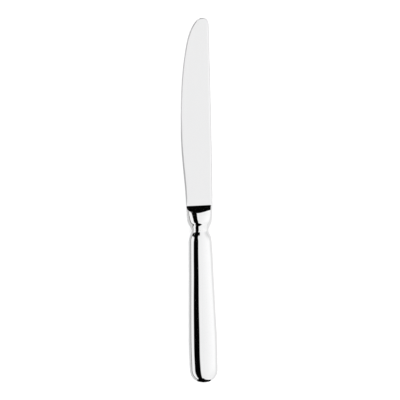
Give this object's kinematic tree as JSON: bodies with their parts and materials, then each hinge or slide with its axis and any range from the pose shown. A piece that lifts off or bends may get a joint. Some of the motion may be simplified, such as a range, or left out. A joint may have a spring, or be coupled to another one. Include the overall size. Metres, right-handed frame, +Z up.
{
  "type": "dessert knife",
  "caption": "Dessert knife with a round-bellied polished blade, a ramped mitre, a flared collar with a grooved neck, and a hollow pear-shaped handle filled with cement.",
  "frame": {"origin": "under the middle of the knife's box, on the surface that it lies on", "axes": "+Y along the knife towards the blade's tip, +X towards the spine, +Z up, with the blade's flanks facing up and down"},
  "size_m": [0.0176, 0.21, 0.0106],
  "materials": {
    "blade_steel": "polished",
    "handle_steel": "polished",
    "braze": "polished",
    "cement": "matte"
  },
  "bodies": {
    "root": {"blade": "blade_steel", "ferrule": "handle_steel", "neck_braze_ring": "braze", "handle_shell_front": "handle_steel", "handle_shell_back": "handle_steel", "seam_braze": "braze", "cement_core": "cement"}
  },
  "joints": []
}
